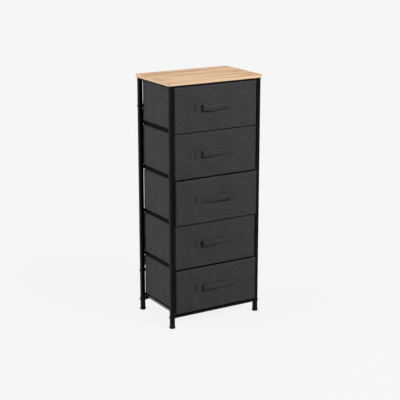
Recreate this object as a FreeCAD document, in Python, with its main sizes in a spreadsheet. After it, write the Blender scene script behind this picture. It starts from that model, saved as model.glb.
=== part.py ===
import FreeCAD, Part
import Sketcher
import os
import re

# A fabric drawer dresser: five sewn boxes that slide on sheet-metal runners in a steel frame under a wood-look top.
# Millimetres, +Z up, front towards -Y. The origin is on the floor, under the middle of the overall width and depth,
# pull straps included.

DOC = FreeCAD.newDocument("fabric_drawer_dresser")
SHEET = DOC.addObject("Spreadsheet::Sheet", "Sizes")
AXES = {"x": FreeCAD.Vector(1, 0, 0), "y": FreeCAD.Vector(0, 1, 0), "z": FreeCAD.Vector(0, 0, 1)}
PARTS = {}
AJAR = (3, 5)  # drawers that stand a little open, counted from the top

# The driving sizes. Each one is written once, here.
SIZES = {
    "overall_width": 450,
    "overall_depth": 290,
    "overall_height": 1045,
    "drawer_count": 5,
    # top board
    "board_thickness": 12,
    "board_corner_radius": 10,
    "board_edge_radius": 1.5,
    # legs and the mitred ring on top of them
    "leg_size": 18,
    "leg_radius": 3,
    "leg_inset_side": 8,
    "leg_inset_front": 4,
    "tube_wall": 1.2,
    "top_rail_height": 8,
    "top_rail_radius": 1.8,
    # bars between the side frames
    "floor_clearance": 43.5,
    "crossbar_size": 12,
    "crossbar_radius": 2,
    "rear_bar_depth": 10,
    "rear_bar_height": 14,
    "rear_bar_low": 180,
    "rear_bar_drop": 115,
    # runners
    "runner_sheet": 1.5,
    "runner_lift": 4.5,
    "runner_ledge": 22,
    "runner_flange": 18,
    "runner_bend": 1.5,
    "runner_setback": 2,
    "stop_width": 12,
    "stop_height": 11,
    # bolts, nuts and screws
    "bolt_diameter": 5,
    "bolt_head_diameter": 10,
    "bolt_head_height": 3,
    "bolt_bite": 11,
    "nut_length": 14,
    "nut_clearance": 0.25,
    "screw_diameter": 4,
    "screw_head_diameter": 7.5,
    "screw_head_height": 2.2,
    "screw_bite": 9,
    "screw_spacing": 180,
    "bore_clearance": 0.2,
    # levelling feet
    "foot_height": 12,
    "foot_diameter": 26,
    "foot_sole_diameter": 22,
    "foot_neck_diameter": 18,
    "foot_sole_bevel": 2.5,
    "foot_rim_height": 5,
    "foot_stem_diameter": 8,
    "foot_stem_length": 28,
    "foot_seat_gap": 0.2,
    "collar_thickness": 1.5,
    "plug_height": 24,
    "plug_clearance": 0.1,
    "stem_clearance": 0.3,
    # drawers
    "drawer_seat_gap": 0.3,
    "drawer_head_gap": 1.5,
    "drawer_side_gap": 1.2,
    "drawer_back_gap": 1,
    "drawer_ajar": 8.5,
    "drawer_corner_radius": 5,
    "fabric_thickness": 2,
    "lining_gap": 0.3,
    "rim_drop": 4,
    "front_board_thickness": 3,
    "liner_thickness": 2,
    "base_board_thickness": 3,
    # pull straps
    "strap_length": 200,
    "strap_height": 28,
    "strap_thickness": 2.5,
    "strap_tab": 26,
    "strap_bow": 14,
    "strap_rise": 5,
}

# Sizes and places that follow from the driving ones.
PLACES = {
    "leg_x": "overall_width / 2 - leg_inset_side - leg_size / 2",
    "leg_y": "overall_depth / 2 - leg_inset_front - leg_size / 2",
    "leg_bottom": "foot_height + foot_seat_gap + collar_thickness",
    "leg_top": "overall_height - board_thickness - top_rail_height",
    "side_face": "leg_x + leg_size / 2",
    "front_face": "leg_y + leg_size / 2",
    "frame_middle": "(front_face + drawer_ajar + strap_bow + strap_thickness - overall_depth / 2) / 2",
    "opening_half": "leg_x - leg_size / 2",
    "crossbar_level": "floor_clearance + crossbar_size / 2",
    "first_runner": "floor_clearance + crossbar_size + runner_lift",
    "tier_pitch": "(leg_top - first_runner) / drawer_count",
    "rear_bar_y": "front_face - rear_bar_depth / 2",
    "rear_bar_high": "leg_top - rear_bar_drop",
    "runner_length": "2 * front_face - 2 * runner_setback",
    "drawer_width": "2 * (opening_half - runner_sheet - drawer_side_gap)",
    "drawer_depth": "2 * front_face - rear_bar_depth - drawer_back_gap",
    "drawer_height": "tier_pitch - runner_sheet - drawer_seat_gap - drawer_head_gap",
    "corner_inner": "drawer_corner_radius - fabric_thickness",
    "lining_x": "drawer_width / 2 - fabric_thickness - lining_gap",
    "lining_z": "fabric_thickness + lining_gap",
    "lining_height": "drawer_height - lining_z - rim_drop",
    "liner_front": "fabric_thickness + 2 * lining_gap + front_board_thickness",
    "liner_back": "drawer_depth - fabric_thickness - lining_gap",
    "strap_span": "strap_length - 2 * strap_tab",
    "strap_radius": "(strap_span * strap_span / 4 + strap_bow * strap_bow) / (2 * strap_bow)",
}

WORD = re.compile(r"[a-z]\w*")
LEFT_RIGHT = {"left": -1, "right": 1}
FRONT_REAR = {"front": -1, "rear": 1}


def expand(text):
    """A size as an expression on the sheet's cells."""
    def swap(match):
        word = match.group(0)
        if word in PLACES:
            return f"({expand(PLACES[word])})"
        return f"Sizes.{word}"
    return WORD.sub(swap, str(text))


def bind(thing, prop, text):
    thing.setExpression(prop, expand(text))


def measure(text):
    return float(SHEET.evalExpression(expand(text)))


def place(thing, at, turn_axis="z", turn=0):
    """Puts a body or a link at a point given from below the frame's middle, turned about one axis."""
    thing.Placement = FreeCAD.Placement(FreeCAD.Vector(), FreeCAD.Rotation(AXES[turn_axis], turn))
    across, depth, level = at
    for axis, text in (("x", across), ("y", f"frame_middle + {depth}"), ("z", level)):
        bind(thing, f"Placement.Base.{axis}", text)


def new_body(label):
    return DOC.addObject("PartDesign::Body", label)


def keep(label, thing):
    thing.Label = label
    PARTS[label] = thing
    return thing


def sketch_on(body, plane, centre=("0", "0"), lift="0"):
    """An empty sketch on one of the body's own planes, with its origin moved to centre and lifted off the plane."""
    sketch = body.newObject("Sketcher::SketchObject", f"{body.Name}_sketch")
    support = [feature for feature in body.Origin.OriginFeatures if feature.Role == plane][0]
    sketch.AttachmentSupport = (support, [""])
    sketch.MapMode = "FlatFace"
    for axis, text in zip("xyz", (centre[0], centre[1], lift)):
        bind(sketch, f"AttachmentOffset.Base.{axis}", text)
    return sketch


def hold(sketch, kind, places, size):
    """A constraint whose value comes from the sheet."""
    index = sketch.addConstraint(Sketcher.Constraint(kind, *places, measure(size)))
    bind(sketch, f"Constraints[{index}]", size)


def rectangle(sketch, width, height):
    """A rectangle about the sketch's origin."""
    x = measure(width) / 2
    y = measure(height) / 2
    corners = [FreeCAD.Vector(*c, 0) for c in ((-x, -y), (x, -y), (x, y), (-x, y))]
    for i in range(4):
        sketch.addGeometry(Part.LineSegment(corners[i], corners[(i + 1) % 4]))
    for i in range(4):
        sketch.addConstraint(Sketcher.Constraint("Coincident", i, 2, (i + 1) % 4, 1))
        sketch.addConstraint(Sketcher.Constraint("Vertical" if i % 2 else "Horizontal", i))
    sketch.addConstraint(Sketcher.Constraint("Symmetric", 0, 1, 1, 2, -1, 1))
    hold(sketch, "DistanceX", (0, 1, 0, 2), width)
    hold(sketch, "DistanceY", (1, 1, 1, 2), height)
    return sketch


def circle(sketch, diameter):
    """A circle about the sketch's origin."""
    shape = Part.Circle(FreeCAD.Vector(), FreeCAD.Vector(0, 0, 1), measure(diameter) / 2)
    sketch.addGeometry(shape)
    sketch.addConstraint(Sketcher.Constraint("Coincident", 0, 3, -1, 1))
    hold(sketch, "Diameter", (0,), diameter)
    return sketch


def polygon(sketch, points):
    """A closed outline through points, each held by its two distances from the sketch's origin."""
    spots = [FreeCAD.Vector(measure(x), measure(y), 0) for x, y in points]
    count = len(points)
    for i in range(count):
        sketch.addGeometry(Part.LineSegment(spots[i], spots[(i + 1) % count]))
    for i in range(count):
        sketch.addConstraint(Sketcher.Constraint("Coincident", i, 2, (i + 1) % count, 1))
    for i, (x, y) in enumerate(points):
        hold(sketch, "DistanceX", (-1, 1, i, 1), x)
        hold(sketch, "DistanceY", (-1, 1, i, 1), y)
    return sketch


def pad(body, sketch, length, symmetric=False):
    feature = body.newObject("PartDesign::Pad", f"{body.Name}_pad")
    feature.Profile = sketch
    feature.SideType = "Symmetric" if symmetric else "One side"
    bind(feature, "Length", length)
    DOC.recompute()
    return feature


def cut_through(body, sketch):
    """A pocket through the whole body, both ways from its sketch."""
    feature = body.newObject("PartDesign::Pocket", f"{body.Name}_cut")
    feature.Profile = sketch
    feature.Type = "ThroughAll"
    feature.SideType = "Symmetric"
    DOC.recompute()
    return feature


def cut_along(body, sketch, length):
    """A pocket of one length, along its sketch's normal."""
    feature = body.newObject("PartDesign::Pocket", f"{body.Name}_cut")
    feature.Profile = sketch
    feature.Reversed = True
    bind(feature, "Length", length)
    DOC.recompute()
    return feature


def revolve(body, sketch):
    """A full turn of a profile about the body's own vertical axis."""
    feature = body.newObject("PartDesign::Revolution", f"{body.Name}_turned")
    feature.Profile = sketch
    feature.ReferenceAxis = (sketch, ["V_Axis"])
    feature.Angle = 360
    DOC.recompute()
    return feature


def fillet(body, radius, test):
    """Rounds the edges of the body so far that pass the test."""
    base = body.Tip
    names = [f"Edge{i + 1}" for i, edge in enumerate(base.Shape.Edges) if test(edge)]
    feature = body.newObject("PartDesign::Fillet", f"{body.Name}_rounding")
    feature.Base = (base, names)
    bind(feature, "Radius", radius)
    DOC.recompute()
    return feature


def hollow(body, wall, test):
    """Leaves a skin of the body so far, open at the faces that pass the test."""
    base = body.Tip
    names = [f"Face{i + 1}" for i, face in enumerate(base.Shape.Faces) if test(face)]
    feature = body.newObject("PartDesign::Thickness", f"{body.Name}_skin")
    feature.Base = (base, names)
    feature.Reversed = True
    bind(feature, "Value", wall)
    DOC.recompute()
    return feature


def runs_along(axis):
    """A test for straight edges parallel to an axis."""
    way = AXES[axis]
    return lambda edge: len(edge.Vertexes) == 2 and edge.BoundBox.DiagonalLength > 0 and (
        abs((edge.Vertexes[1].Point - edge.Vertexes[0].Point).dot(way)) > edge.Length * 0.999)


def lies_at(level):
    """A test for edges that lie at one height, in the body's own frame."""
    height = measure(level)
    return lambda edge: abs(edge.BoundBox.ZMin - height) + abs(edge.BoundBox.ZMax - height) < 1e-4


def faces(axis, *signs):
    """A test for flat faces that look along an axis, one way or both."""
    def test(face):
        if not isinstance(face.Surface, Part.Plane):
            return False
        along = face.normalAt(0, 0).dot(AXES[axis])
        return any(along * sign > 0.999 for sign in signs)
    return test


def tube(label, plane, axis, width, height, length, radius, symmetric=True):
    """A square tube with rounded corners, open at both ends."""
    body = new_body(label)
    pad(body, rectangle(sketch_on(body, plane), width, height), length, symmetric)
    fillet(body, radius, runs_along(axis))
    hollow(body, "tube_wall", faces(axis, -1, 1))
    return body


def group(label, master, spots):
    """One node of equal pieces: copies of a master body, each at its own spot."""
    links = []
    for at, turn_axis, turn in spots:
        link = DOC.addObject("App::Link", f"{label}_copy")
        link.LinkedObject = master
        place(link, at, turn_axis, turn)
        links.append(link)
    compound = DOC.addObject("Part::Compound", label)
    compound.Links = links
    return compound


def runner_level(number):
    """The underside of the runners of one drawer, counted from the top."""
    return f"first_runner + tier_pitch * (drawer_count - {number})"


def make_top_board():
    body = new_body("top_board")
    pad(body, rectangle(sketch_on(body, "XY_Plane"), "overall_width", "overall_depth"), "board_thickness")
    fillet(body, "board_corner_radius", runs_along("z"))
    fillet(body, "board_edge_radius", lies_at("board_thickness"))
    for side in LEFT_RIGHT.values():
        for end in FRONT_REAR.values():
            spot = (f"{side} * (leg_x)", f"{end} * screw_spacing / 2")
            sketch = circle(sketch_on(body, "XY_Plane", spot), "screw_diameter + bore_clearance")
            cut_along(body, sketch, "screw_bite + bore_clearance")
    place(body, ("0", "0", "overall_height - board_thickness"))
    keep("top_board", body)


def make_top_rail(label, length, at, turn, screwed):
    """One bar of the ring under the board, mitred at both ends. Its inner side looks along its own +Y."""
    body = tube(label, "YZ_Plane", "x", "leg_size", "top_rail_height", length, "top_rail_radius")
    for end in (-1, 1):
        corner = [
            (f"{end} * ({length}) / 2", "leg_size / 2"),
            (f"{end} * (({length}) / 2 - leg_size)", "leg_size / 2"),
            (f"{end} * ({length}) / 2", "0 - leg_size / 2"),
        ]
        cut_through(body, polygon(sketch_on(body, "XY_Plane"), corner))
    if screwed:
        for end in (-1, 1):
            spot = (f"{end} * screw_spacing / 2", "0")
            cut_through(body, circle(sketch_on(body, "XY_Plane", spot), "screw_diameter + bore_clearance"))
    place(body, at, "z", turn)
    keep(label, body)


def make_top_rails():
    level = "leg_top + top_rail_height / 2"
    for name, side, turn in (("front", -1, 0), ("rear", 1, 180)):
        make_top_rail(f"top_rail_{name}", "2 * side_face", ("0", f"{side} * (leg_y)", level), turn, False)
    for name, side, turn in (("left", -1, -90), ("right", 1, 90)):
        make_top_rail(f"top_rail_{name}", "2 * front_face", (f"{side} * (leg_x)", "0", level), turn, True)


def make_legs():
    for end, depth in FRONT_REAR.items():
        for side, across in LEFT_RIGHT.items():
            label = f"leg_{end}_{side}"
            body = tube(label, "XY_Plane", "z", "leg_size", "leg_size", "leg_top - leg_bottom", "leg_radius", False)
            bores = [("0", "crossbar_level - leg_bottom")]
            if end == "rear":
                offset = "rear_bar_y - leg_y"
                bores += [(offset, "rear_bar_low - leg_bottom"), (offset, "rear_bar_high - leg_bottom")]
            for spot in bores:
                cut_through(body, circle(sketch_on(body, "YZ_Plane", spot), "bolt_diameter + bore_clearance"))
            place(body, (f"{across} * (leg_x)", f"{depth} * (leg_y)", "leg_bottom"))
            keep(label, body)


def make_bars():
    for end, depth in FRONT_REAR.items():
        label = f"crossbar_{end}"
        body = tube(label, "YZ_Plane", "x", "crossbar_size", "crossbar_size", "2 * opening_half", "crossbar_radius")
        place(body, ("0", f"{depth} * (leg_y)", "crossbar_level"))
        keep(label, body)
    for name, level in (("lower", "rear_bar_low"), ("upper", "rear_bar_high")):
        label = f"rear_bar_{name}"
        body = tube(label, "YZ_Plane", "x", "rear_bar_depth", "rear_bar_height", "2 * opening_half", "crossbar_radius")
        place(body, ("0", "rear_bar_y", level))
        keep(label, body)


def bolt_spots():
    """Where each frame bolt passes through its leg: along X, level with the bar that it holds."""
    rows = [(f"{depth} * (leg_y)", "crossbar_level") for depth in FRONT_REAR.values()]
    rows += [("rear_bar_y", "rear_bar_low"), ("rear_bar_y", "rear_bar_high")]
    return [(side, y, z) for side in LEFT_RIGHT.values() for y, z in rows]


def make_bolts():
    """Button-head bolts, heads on the outer faces of the legs."""
    master = new_body("frame_bolt")
    profile = [
        ("0", "0 - leg_size - bolt_bite"),
        ("bolt_diameter / 2", "0 - leg_size - bolt_bite"),
        ("bolt_diameter / 2", "0"),
        ("bolt_head_diameter / 2", "0"),
        ("bolt_head_diameter / 4", "bolt_head_height"),
        ("0", "bolt_head_height"),
    ]
    revolve(master, polygon(sketch_on(master, "XZ_Plane"), profile))
    spots = [((f"{side} * (side_face)", y, z), "y", 90 * side) for side, y, z in bolt_spots()]
    keep("frame_bolts", group("frame_bolts", master, spots))


def make_nut(label, depth, height):
    """A threaded block that fills the end of a bar."""
    body = new_body(label)
    fit = "2 * tube_wall + 2 * nut_clearance"
    pad(body, rectangle(sketch_on(body, "YZ_Plane"), f"{depth} - ({fit})", f"{height} - ({fit})"), "nut_length", True)
    cut_through(body, circle(sketch_on(body, "YZ_Plane"), "bolt_diameter + bore_clearance"))
    return body


def make_nuts():
    crossbar_nut = make_nut("crossbar_nut", "crossbar_size", "crossbar_size")
    rear_bar_nut = make_nut("rear_bar_nut", "rear_bar_depth", "rear_bar_height")
    links = []
    for master, wanted in ((crossbar_nut, "crossbar_level"), (rear_bar_nut, "rear_bar")):
        spots = [
            ((f"{side} * (opening_half - nut_length / 2)", y, z), "z", 0)
            for side, y, z in bolt_spots() if z.startswith(wanted)
        ]
        links += group(f"{master.Name}s", master, spots).Links
    compound = DOC.addObject("Part::Compound", "bar_end_nuts")
    compound.Links = links
    keep("bar_end_nuts", compound)


def make_board_screws():
    """Pan-head screws that go up through the side rails into the board."""
    master = new_body("board_screw")
    top = "top_rail_height + screw_bite"
    profile = [
        ("0", "0 - screw_head_height"),
        ("screw_head_diameter / 2", "0 - screw_head_height"),
        ("screw_head_diameter / 2", "0"),
        ("screw_diameter / 2", "0"),
        ("screw_diameter / 2", top),
        ("0", top),
    ]
    revolve(master, polygon(sketch_on(master, "XZ_Plane"), profile))
    spots = [
        ((f"{side} * (leg_x)", f"{end} * screw_spacing / 2", "leg_top"), "z", 0)
        for side in LEFT_RIGHT.values() for end in FRONT_REAR.values()
    ]
    keep("board_screws", group("board_screws", master, spots))


def make_leg_inserts():
    """Plastic plugs with a collar, pressed into the lower ends of the legs. Each has the bore for a foot's stem."""
    master = new_body("leg_insert")
    pad(master, rectangle(sketch_on(master, "XY_Plane"), "leg_size", "leg_size"), "collar_thickness")
    fillet(master, "leg_radius", runs_along("z"))
    side = "leg_size - 2 * tube_wall - 2 * plug_clearance"
    pad(master, rectangle(sketch_on(master, "XY_Plane", lift="collar_thickness"), side, side), "plug_height")
    top = measure("plug_height")
    fillet(master, "leg_radius - tube_wall", lambda edge: runs_along("z")(edge) and edge.BoundBox.ZMax > top)
    cut_through(master, circle(sketch_on(master, "XY_Plane"), "foot_stem_diameter + 2 * stem_clearance"))
    level = "leg_bottom - collar_thickness"
    spots = [
        ((f"{across} * (leg_x)", f"{depth} * (leg_y)", level), "z", 0)
        for depth in FRONT_REAR.values() for across in LEFT_RIGHT.values()
    ]
    keep("leg_inserts", group("leg_inserts", master, spots))


def make_feet():
    """Screw-in levelling feet: a flared plastic pad moulded on a threaded stem."""
    profile = [
        ("0", "0"),
        ("foot_sole_diameter / 2", "0"),
        ("foot_diameter / 2", "foot_sole_bevel"),
        ("foot_diameter / 2", "foot_rim_height"),
        ("foot_neck_diameter / 2", "foot_height"),
        ("foot_stem_diameter / 2", "foot_height"),
        ("foot_stem_diameter / 2", "foot_height + foot_stem_length"),
        ("0", "foot_height + foot_stem_length"),
    ]
    for end, depth in FRONT_REAR.items():
        for side, across in LEFT_RIGHT.items():
            label = f"levelling_foot_{end}_{side}"
            body = new_body(label)
            revolve(body, polygon(sketch_on(body, "XZ_Plane"), profile))
            place(body, (f"{across} * (leg_x)", f"{depth} * (leg_y)", "0"))
            keep(label, body)


def make_runners(number):
    """A pair of folded angles for one drawer: a ledge under it, a flange up its side and a stop behind it."""
    left = new_body(f"runner_left_{number}")
    outline = [
        ("0", "0"),
        ("runner_ledge", "0"),
        ("runner_ledge", "runner_sheet"),
        ("runner_sheet", "runner_sheet"),
        ("runner_sheet", "runner_flange"),
        ("0", "runner_flange"),
    ]
    pad(left, polygon(sketch_on(left, "XZ_Plane"), outline), "runner_length", True)
    sheet = measure("runner_sheet")
    bend = runs_along("y")
    fillet(left, "runner_bend", lambda edge: bend(edge) and (
        abs(edge.BoundBox.XMin - sheet) + abs(edge.BoundBox.ZMin - sheet) < 0.01))
    fillet(left, "runner_bend + runner_sheet", lambda edge: (
        bend(edge) and abs(edge.BoundBox.XMin) + abs(edge.BoundBox.ZMin) < 0.01))
    back = "drawer_depth - front_face + drawer_seat_gap"
    middle = ("runner_ledge - stop_width / 2", "runner_sheet + stop_height / 2")
    stop = sketch_on(left, "XZ_Plane", middle, f"0 - ({back} + runner_sheet)")
    pad(left, rectangle(stop, "stop_width", "stop_height"), "runner_sheet")
    place(left, ("0 - (opening_half)", "0", runner_level(number)))
    keep(f"runner_left_{number}", left)
    right = DOC.addObject("Part::Mirroring", f"runner_right_{number}")
    right.Source = left
    right.Normal = AXES["x"]
    keep(f"runner_right_{number}", right)


def drawer_spot(number, dy="0", dz="0"):
    """A point of one drawer, from the middle of the lower edge of its front."""
    ajar = "drawer_ajar" if number in AJAR else "0"
    level = f"{runner_level(number)} + runner_sheet + drawer_seat_gap"
    return ("0", f"0 - front_face - {ajar} + {dy}", f"{level} + {dz}")


def make_fabric_box(number):
    """The sewn box: one skin, open at the top."""
    body = new_body(f"drawer_{number}_fabric_box")
    middle = ("0", "drawer_depth / 2")
    pad(body, rectangle(sketch_on(body, "XY_Plane", middle), "drawer_width", "drawer_depth"), "drawer_height")
    fillet(body, "drawer_corner_radius", runs_along("z"))
    inside = sketch_on(body, "XY_Plane", middle, "fabric_thickness")
    rectangle(inside, "drawer_width - 2 * fabric_thickness", "drawer_depth - 2 * fabric_thickness")
    cut_along(body, inside, "drawer_height")
    inner_x = measure("drawer_width / 2 - fabric_thickness")
    fillet(body, "corner_inner", lambda edge: (
        runs_along("z")(edge) and abs(abs(edge.BoundBox.XMin) - inner_x) < 0.01))
    place(body, drawer_spot(number))
    keep(body.Name, body)


def make_front_board(number):
    body = new_body(f"drawer_{number}_front_board")
    width = "drawer_width - 2 * drawer_corner_radius"
    middle = ("0", "lining_height / 2")
    pad(body, rectangle(sketch_on(body, "XZ_Plane", middle), width, "lining_height"), "front_board_thickness", True)
    place(body, drawer_spot(number, "lining_z + front_board_thickness / 2", "lining_z"))
    keep(body.Name, body)


def make_wall_liner(number):
    """One strip of fibreboard folded round the sides and the back, inside the fabric."""
    body = new_body(f"drawer_{number}_wall_liner")
    length = "liner_back - liner_front"
    pad(body, rectangle(sketch_on(body, "XY_Plane"), "2 * lining_x", length), "lining_height")
    rear = measure(length) / 2
    fillet(body, "corner_inner", lambda edge: runs_along("z")(edge) and abs(edge.BoundBox.YMin - rear) < 0.01)
    ends = faces("z", -1, 1)
    front = faces("y", -1)
    hollow(body, "liner_thickness", lambda face: ends(face) or front(face))
    place(body, drawer_spot(number, "(liner_front + liner_back) / 2", "lining_z"))
    keep(body.Name, body)


def make_base_board(number):
    body = new_body(f"drawer_{number}_base_board")
    inset = "liner_thickness + lining_gap"
    width = f"2 * (lining_x - ({inset}))"
    length = f"liner_back - liner_front - ({inset})"
    pad(body, rectangle(sketch_on(body, "XY_Plane"), width, length), "base_board_thickness")
    rear = measure(length) / 2
    fillet(body, "corner_inner", lambda edge: runs_along("z")(edge) and abs(edge.BoundBox.YMin - rear) < 0.01)
    place(body, drawer_spot(number, f"liner_front + ({length}) / 2", "lining_z"))
    keep(body.Name, body)


def make_pull_strap(number):
    """A webbing pull: two flat tabs sewn to the front, with an arched grip between them."""
    body = new_body(f"drawer_{number}_pull_strap")
    sketch = sketch_on(body, "XY_Plane")
    half = measure("strap_length / 2")
    foot = measure("strap_span / 2")
    sheet = measure("strap_thickness")
    radius = measure("strap_radius")
    rise = radius - measure("strap_bow")
    outer_foot = ((radius + sheet) ** 2 - (rise + sheet) ** 2) ** 0.5

    def line(start, end):
        return Part.LineSegment(FreeCAD.Vector(*start, 0), FreeCAD.Vector(*end, 0))

    def arch(reach, level, depth):
        return Part.Arc(
            FreeCAD.Vector(-reach, level, 0), FreeCAD.Vector(0, depth, 0), FreeCAD.Vector(reach, level, 0))

    sketch.addGeometry([
        line((-half, 0), (-foot, 0)),
        arch(foot, 0, rise - radius),
        line((foot, 0), (half, 0)),
        line((half, 0), (half, -sheet)),
        line((half, -sheet), (outer_foot, -sheet)),
        arch(outer_foot, -sheet, rise - radius - sheet),
        line((-outer_foot, -sheet), (-half, -sheet)),
        line((-half, -sheet), (-half, 0)),
    ])
    for i in range(8):
        after = (i + 1) % 8
        leaves_by = 1 if i == 5 else 2
        enters_by = 2 if after == 5 else 1
        sketch.addConstraint(Sketcher.Constraint("Coincident", i, leaves_by, after, enters_by))
    for i in (1, 2):
        sketch.addConstraint(Sketcher.Constraint("PointOnObject", 0, i, -1))
    for i in (4, 6):
        sketch.addConstraint(Sketcher.Constraint("Horizontal", i))
    for i in (3, 7):
        sketch.addConstraint(Sketcher.Constraint("Vertical", i))
    sketch.addConstraint(Sketcher.Constraint("Symmetric", 0, 1, 2, 2, -2))
    sketch.addConstraint(Sketcher.Constraint("Symmetric", 0, 2, 2, 1, -2))
    sketch.addConstraint(Sketcher.Constraint("Equal", 3, 7))
    sketch.addConstraint(Sketcher.Constraint("Coincident", 5, 3, 1, 3))
    hold(sketch, "DistanceX", (0, 1, 2, 2), "strap_length")
    hold(sketch, "DistanceX", (0, 2, 2, 1), "strap_span")
    hold(sketch, "DistanceY", (3, 2, 3, 1), "strap_thickness")
    hold(sketch, "Radius", (1,), "strap_radius")
    hold(sketch, "Radius", (5,), "strap_radius + strap_thickness")
    pad(body, sketch, "strap_height", True)
    place(body, drawer_spot(number, "0", "drawer_height / 2 + strap_rise"))
    keep(body.Name, body)


def make_drawers():
    for number in range(1, SIZES["drawer_count"] + 1):
        make_runners(number)
        make_fabric_box(number)
        make_front_board(number)
        make_wall_liner(number)
        make_base_board(number)
        make_pull_strap(number)


def check():
    """Every object is sound, and each exported shape is a valid one."""
    for thing in DOC.Objects:
        if "Invalid" in thing.State or "Error" in thing.State:
            raise RuntimeError(f"{thing.Label} failed: {thing.State}")
    for label, thing in PARTS.items():
        if thing.Shape.isNull() or not thing.Shape.isValid() or not thing.Shape.Solids:
            raise RuntimeError(f"{label} has no valid solid")


def main():
    for row, (name, size) in enumerate(SIZES.items(), 1):
        SHEET.set(f"A{row}", name)
        SHEET.set(f"B{row}", str(size))
        SHEET.setAlias(f"B{row}", name)
    DOC.recompute()
    make_top_board()
    make_top_rails()
    make_legs()
    make_bars()
    make_bolts()
    make_nuts()
    make_board_screws()
    make_leg_inserts()
    make_feet()
    make_drawers()
    DOC.recompute()
    check()
    os.makedirs("parts", exist_ok=True)
    for label, thing in PARTS.items():
        thing.Shape.exportStep(f"parts/{label}.step")


main()
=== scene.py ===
import math

import bmesh
import bpy
import numpy as np
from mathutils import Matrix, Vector, noise


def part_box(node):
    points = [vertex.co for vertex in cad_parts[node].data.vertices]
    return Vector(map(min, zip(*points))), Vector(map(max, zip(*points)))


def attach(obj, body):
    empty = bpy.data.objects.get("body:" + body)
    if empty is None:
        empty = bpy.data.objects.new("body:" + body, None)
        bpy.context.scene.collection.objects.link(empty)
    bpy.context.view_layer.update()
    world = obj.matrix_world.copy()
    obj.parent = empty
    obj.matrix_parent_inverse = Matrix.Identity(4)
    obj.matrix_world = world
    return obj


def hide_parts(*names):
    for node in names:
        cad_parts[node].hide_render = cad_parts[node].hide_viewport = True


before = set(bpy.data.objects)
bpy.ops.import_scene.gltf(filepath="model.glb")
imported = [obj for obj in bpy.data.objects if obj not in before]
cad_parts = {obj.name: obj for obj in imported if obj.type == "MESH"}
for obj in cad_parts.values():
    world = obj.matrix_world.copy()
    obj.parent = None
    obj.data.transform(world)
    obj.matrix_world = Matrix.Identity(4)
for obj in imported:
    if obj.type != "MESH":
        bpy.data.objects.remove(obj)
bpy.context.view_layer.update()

# A fabric drawer dresser: sewn cloth boxes on boards, webbing pulls, black steel tube and a wood-look top.
# Metres, +Z up, front towards -Y. Every piece is placed from the boxes of the parts that it belongs to.

MM = 0.001
DRAWERS = range(1, 6)
CORNERS = ("front_left", "front_right", "rear_left", "rear_right")

# Sewn box
BOX_RADIUS = 4 * MM
BOARD_BACK_FRONT = 5.45 * MM  # from the face of the cloth to the lining behind the front board
BOARD_BACK_SIDE = 4.45 * MM  # the same at the sides and the back
BINDING_WIDTH = 13 * MM
BINDING_PROUD = 0.45 * MM
SEAM_DEPTH = 0.7 * MM
SEAM_WIDTH = 0.6 * MM
SEAM_FROM_CORNER = 2.0 * MM
FRONT_CROWN, FRONT_RIPPLE = 0.35, 0.3  # how far the front and back stand proud, in millimetres
SIDE_CROWN, SIDE_RIPPLE = 0.75, 0.6  # the same for the side walls
FRONT_WRAP = 1.5 * MM  # how far the front's linen goes round onto the side walls
LOW_TUCK = 6.5 * MM  # radius of the lowest drawer's rolled front edge
REAR_LIMIT = 198.75 * MM  # just clear of the legs
REAR_FULL_FROM, REAR_FULL_TO = 0.45, 0.95  # shares of the depth between which a side wall fills out
CLOTH_STEP = 5 * MM
CORNER_STEPS = 6
FRONT_CLOTH, PLAIN_CLOTH, RIM_TAPE = range(3)  # places of the box's materials
# Sides are numbered anticlockwise from the front, and each corner as the side before it.
SIDE_WALLS = (1, 3)
FRONT_CORNERS, REAR_CORNERS = (0, 3), (1, 2)

# Pull strap
STRAP_THICKNESS = 2.4 * MM
STRAP_EDGE_SEAM = 3 * MM  # from the loop's edge to its stitches
TAB_SEAM = (80 * MM, 95.5 * MM)  # the ends of the stitched box on each tab, from the strap's middle
TAB_SEAM_HALF = 10.5 * MM  # half the box's height
TAB_OUT, LOOP_OUT = 1.6, 2.5  # how far off the cloth the flat tabs end and the loop starts, in millimetres
LOOP_RISE = 9.0  # this much further off than the tabs, the loop hangs quite freely
STITCHED_FROM = 0.2  # share of that freedom from which the loop's edges show their stitches
TAB_FOLD = 88  # beyond this the tab is folded double, in millimetres from the strap's middle
FOLD_THICKENING = 0.35
EDGE_CURL = 4.6 * MM  # how far the loop's edges curl back
CURL_SPAN = (-72, -58)  # places along the line between which the curl sets in
LOOP_WAVE, WAVE_TURN = 0.5 * MM, 0.11

# Stitches: pitch, length and thread radius
STITCH_SIZES = ("Stitch pitch", "Stitch length", "Thread radius")
RIM_STITCH = (4.2 * MM, 3.0 * MM, 0.32 * MM)
STRAP_STITCH = (3.4 * MM, 2.5 * MM, 0.34 * MM)

# Hardware
BOLT_HEAD = 3 * MM  # how far the plain bolts stand out of the legs' outer faces
SCREW_HEAD_HEIGHT = 2.2 * MM
SCREW_HEAD_RADIUS = 3.75 * MM
GRIP_COUNT, GRIP_DEPTH = 24, 0.35 * MM  # the finger grips round a foot
STEM_BOTTOM, STEM_TOP = 12.0, 39.2  # of a foot's stem, in millimetres
STEM_CORE, THREAD_HEIGHT, THREAD_PITCH = 3.35, 0.62, 1.25
ROWS_PER_TURN = 8
HARD_EDGE = 40  # degrees

# Where finishes, painted shade and a painted highlight change, in millimetres
PAINTED_EDGE_HIGHLIGHT_TOP = (1043.6, 1044.6)  # heights between which the board's paler edge, a painted highlight, gives way to its top
CROSSBAR_SHADE_FROM = 52.0  # height above which a crossbar's paint is dead black: painted shade of the gap under the lowest drawer
LOW_RAIL_SHADE_FROM = 72.1  # the same painted shade on the lowest side rails
LOW_RAIL_FACE = 198.2  # from the dresser's middle to the outer face of a side rail; inside it, on the rail's ledge, the paint is dead black, painted shade under the drawer
SHADE_BLUR, FACE_BLUR = 0.3, 0.1


# -------- materials

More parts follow.
